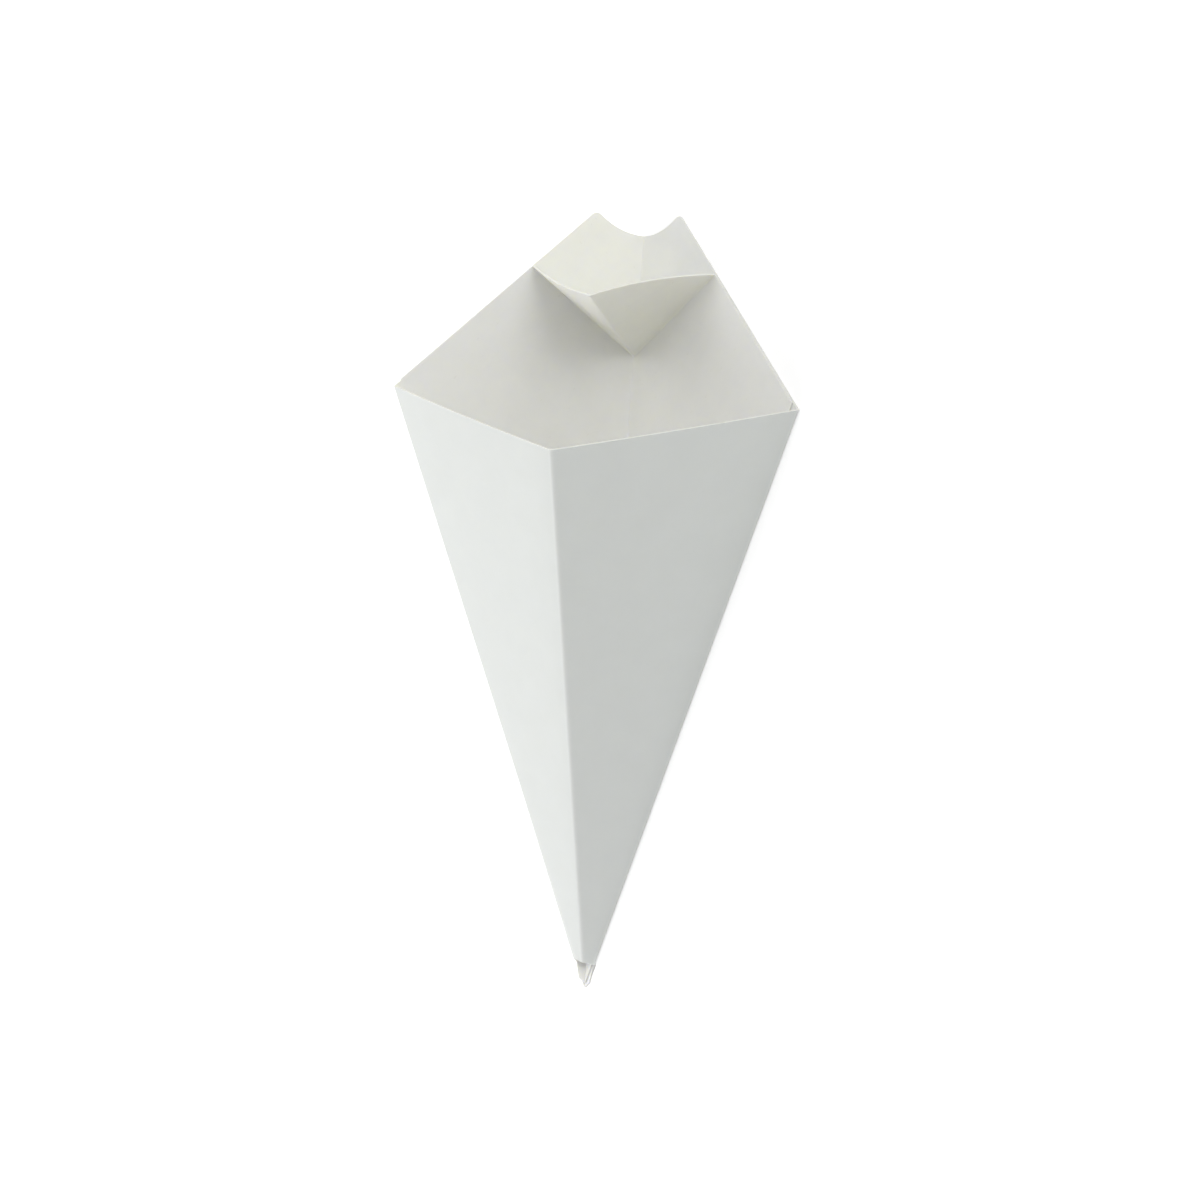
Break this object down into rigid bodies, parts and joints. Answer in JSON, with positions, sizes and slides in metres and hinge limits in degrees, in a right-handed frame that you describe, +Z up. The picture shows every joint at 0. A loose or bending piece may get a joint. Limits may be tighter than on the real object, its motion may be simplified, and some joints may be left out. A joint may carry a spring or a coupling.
{
  "type": "paper fry cone with dip cup",
  "caption": "Folded white paperboard fry cone: a four-sided pointed funnel with a tall notched back tab and a V-fold dip cup inside its mouth, lying on its back.",
  "frame": {"origin": "on the surface that the cone lies on, under the middle of its box", "axes": "+X from the tip to the mouth, +Y towards the raised left side corner, +Z up from the back right panel that it lies on"},
  "size_m": [0.1838, 0.0805, 0.0542],
  "materials": {
    "paperboard": "matte white folding board, smooth outside and slightly warmer inside"
  },
  "bodies": {
    "root": {"fry_cone": "paperboard"}
  },
  "joints": []
}
